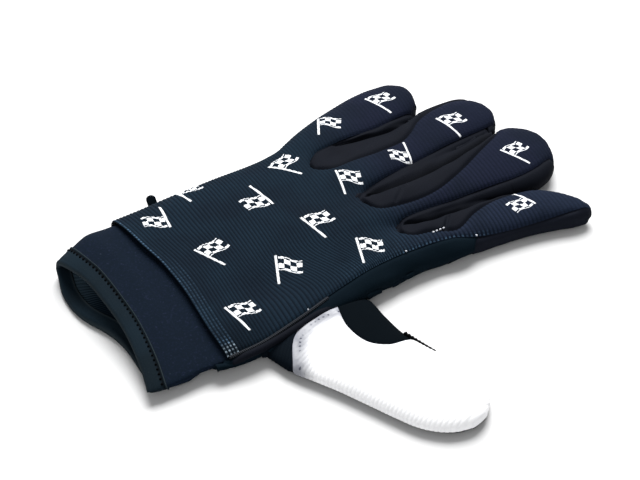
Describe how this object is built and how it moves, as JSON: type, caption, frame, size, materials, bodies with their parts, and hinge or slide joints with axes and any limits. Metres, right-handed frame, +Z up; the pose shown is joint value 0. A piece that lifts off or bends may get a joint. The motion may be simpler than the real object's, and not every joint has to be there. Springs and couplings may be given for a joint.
{
  "type": "motocross glove",
  "caption": "Left motocross glove lying palm down: ribbed knit back, smooth finger side strips, suede palm, pale knit thumb and a pull-on neoprene cuff, hollow for a hand.",
  "frame": {"origin": "under the middle of the glove's bounding box, on the surface it lies on", "axes": "+X from the cuff to the fingertips, +Y to the little finger's side, -Y to the thumb, +Z up out of the back of the hand; the palm faces -Z"},
  "size_m": [0.2326, 0.2068, 0.0165],
  "materials": {
    "back_knit": "blue-black ribbed stretch knit, matt",
    "smooth_fabric": "brown-black smooth stretch fabric, low sheen",
    "palm_suede": "black synthetic suede, matt",
    "pale_knit": "white ribbed knit, matt",
    "neoprene": "dark navy neoprene with a fine knitted face, matt"
  },
  "bodies": {
    "root": {"back_panel": "back_knit", "palm_panel": "palm_suede", "side_strip_middle_index": "smooth_fabric", "side_strip_ring_middle": "smooth_fabric", "side_strip_little_ring": "smooth_fabric", "side_strip_index": "smooth_fabric", "thumb_back": "pale_knit", "thumb_gusset": "palm_suede", "thumb_base": "back_knit", "thumb_palm": "palm_suede", "cuff_band": "neoprene", "cuff_fold": "neoprene", "seam_tab": "palm_suede"}
  },
  "joints": []
}
